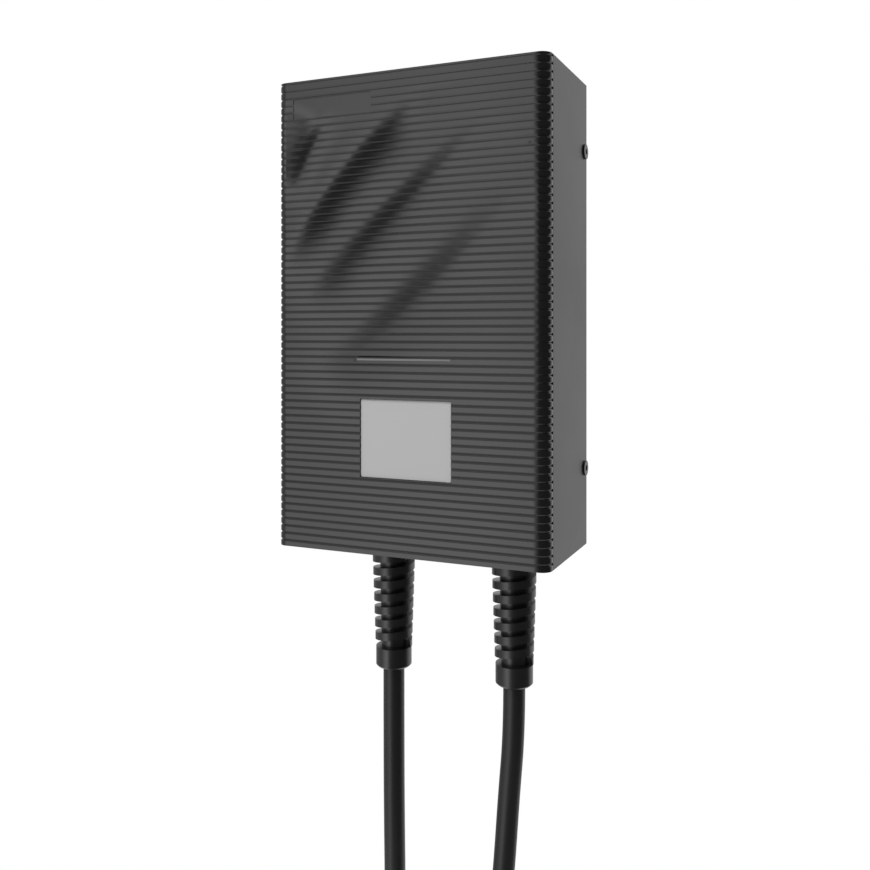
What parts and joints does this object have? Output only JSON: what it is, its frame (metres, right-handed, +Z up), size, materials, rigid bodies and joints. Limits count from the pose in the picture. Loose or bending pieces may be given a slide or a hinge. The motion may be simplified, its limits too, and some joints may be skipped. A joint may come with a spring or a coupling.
{
  "type": "ev wallbox",
  "caption": "Wall charger for an electric car: ribbed box with a display and a status light, a supply cable and a charging cable with a capped connector.",
  "frame": {"origin": "on the wall plane, at the centre of the four wall holes of the bracket", "axes": "+X along the wall to the right as seen from the front, +Y into the wall, +Z up"},
  "size_m": [0.3563, 0.1015, 1.0802],
  "materials": {
    "housing_plastic": "fine satin grain",
    "cover_plastic": "satin",
    "boot_rubber": "satin",
    "seal_rubber": "matt",
    "cable_jacket": "satin",
    "bracket_steel": "zinc grey",
    "dark_screws": "black oxide",
    "steel_screws": "zinc plated",
    "display_glass": "clear gloss over light grey",
    "light_guide": "milky",
    "display_plastic": "matt",
    "board_laminate": "solder mask",
    "lamp_white": "gloss",
    "chip_black": "matt",
    "radio_shield": "tin plated",
    "terminal_plastic": "matt",
    "sensor_plastic": "matt",
    "copper_link": "enamelled",
    "relay_plastic": "satin",
    "module_plastic": "matt",
    "capacitor_plastic": "satin",
    "varistor_epoxy": "satin",
    "fuse_ceramic": "gloss",
    "header_plastic": "matt",
    "ribbon_grey": "matt",
    "gland_nylon": "satin",
    "clamp_nylon": "matt",
    "live_brown": "satin",
    "neutral_blue": "satin",
    "earth_green": "satin",
    "pilot_white": "satin",
    "tie_fabric": "woven",
    "core_plastic": "satin",
    "ferrule_tin": "tin plated",
    "connector_plastic": "satin grain",
    "insert_plastic": "matt",
    "contact_silver": "silver plated",
    "cap_rubber": "matt"
  },
  "bodies": {
    "root": {"wall_bracket": "bracket_steel", "bracket_nuts": "steel_screws", "side_screws": "dark_screws", "rear_housing": "housing_plastic", "front_cover": "cover_plastic", "cover_seal": "seal_rubber", "cover_screws": "steel_screws", "display_window": "display_glass", "display_gasket": "seal_rubber", "display_module": "display_plastic", "light_bar": "light_guide", "display_board": "board_laminate", "status_leds": "lamp_white", "control_chips": "chip_black", "radio_module": "radio_shield", "display_board_screws": "steel_screws", "power_board": "board_laminate", "power_board_screws": "steel_screws", "supply_terminals": "terminal_plastic", "output_terminals": "terminal_plastic", "terminal_screws": "steel_screws", "fault_sensor": "sensor_plastic", "sensor_links": "copper_link", "relays": "relay_plastic", "power_module": "module_plastic", "filter_capacitors": "capacitor_plastic", "varistors": "varistor_epoxy", "control_fuse": "fuse_ceramic", "ribbon_headers": "header_plastic", "ribbon_cable": "ribbon_grey", "gland_bodies": "gland_nylon", "gland_seals": "seal_rubber", "gland_nuts": "gland_nylon", "gland_bushes": "seal_rubber", "supply_boot": "boot_rubber", "charging_boot": "boot_rubber", "cable_lead_ins": "cable_jacket", "cable_clamps": "clamp_nylon", "clamp_screws": "steel_screws", "live_wires": "live_brown", "neutral_wires": "neutral_blue", "earth_wires": "earth_green", "pilot_wire": "pilot_white", "supply_cable": "cable_jacket", "supply_tail": "cable_jacket", "charging_cable": "cable_jacket", "charging_tail": "cable_jacket", "supply_coil": "cable_jacket", "charging_coil": "cable_jacket", "supply_ties": "tie_fabric", "charging_ties": "tie_fabric", "supply_sleeve": "boot_rubber", "supply_cores": "core_plastic", "core_ferrules": "ferrule_tin", "connector_shell_left": "connector_plastic", "connector_shell_right": "connector_plastic", "connector_insert": "insert_plastic", "connector_contacts": "contact_silver", "connector_cap": "cap_rubber", "connector_relief": "boot_rubber"}
  },
  "joints": []
}
